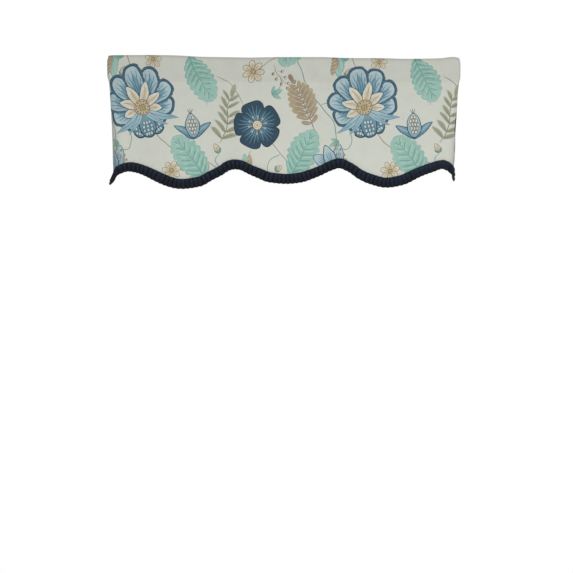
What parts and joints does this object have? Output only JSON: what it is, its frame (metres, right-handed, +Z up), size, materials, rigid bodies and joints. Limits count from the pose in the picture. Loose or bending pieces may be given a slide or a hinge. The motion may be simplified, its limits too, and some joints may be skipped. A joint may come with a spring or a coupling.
{
  "type": "window valance",
  "caption": "Straight rod-pocket window valance of floral printed cotton with short wrapped returns and a ribbed dark band along its scalloped hem.",
  "frame": {"origin": "middle of the top fold, on which the valance hangs", "axes": "+X to the right as seen from the room, -Y out of the printed front, +Y back to the wall, +Z up"},
  "size_m": [1.0986, 0.1162, 0.4145],
  "materials": {
    "printed_cotton": "matt plain-weave cotton with a floral print in blue, teal, olive and tan on cream",
    "ribbed_band": "matt navy gathered band with close cross ribs"
  },
  "bodies": {
    "root": {"panel": "printed_cotton", "trim": "ribbed_band"}
  },
  "joints": []
}
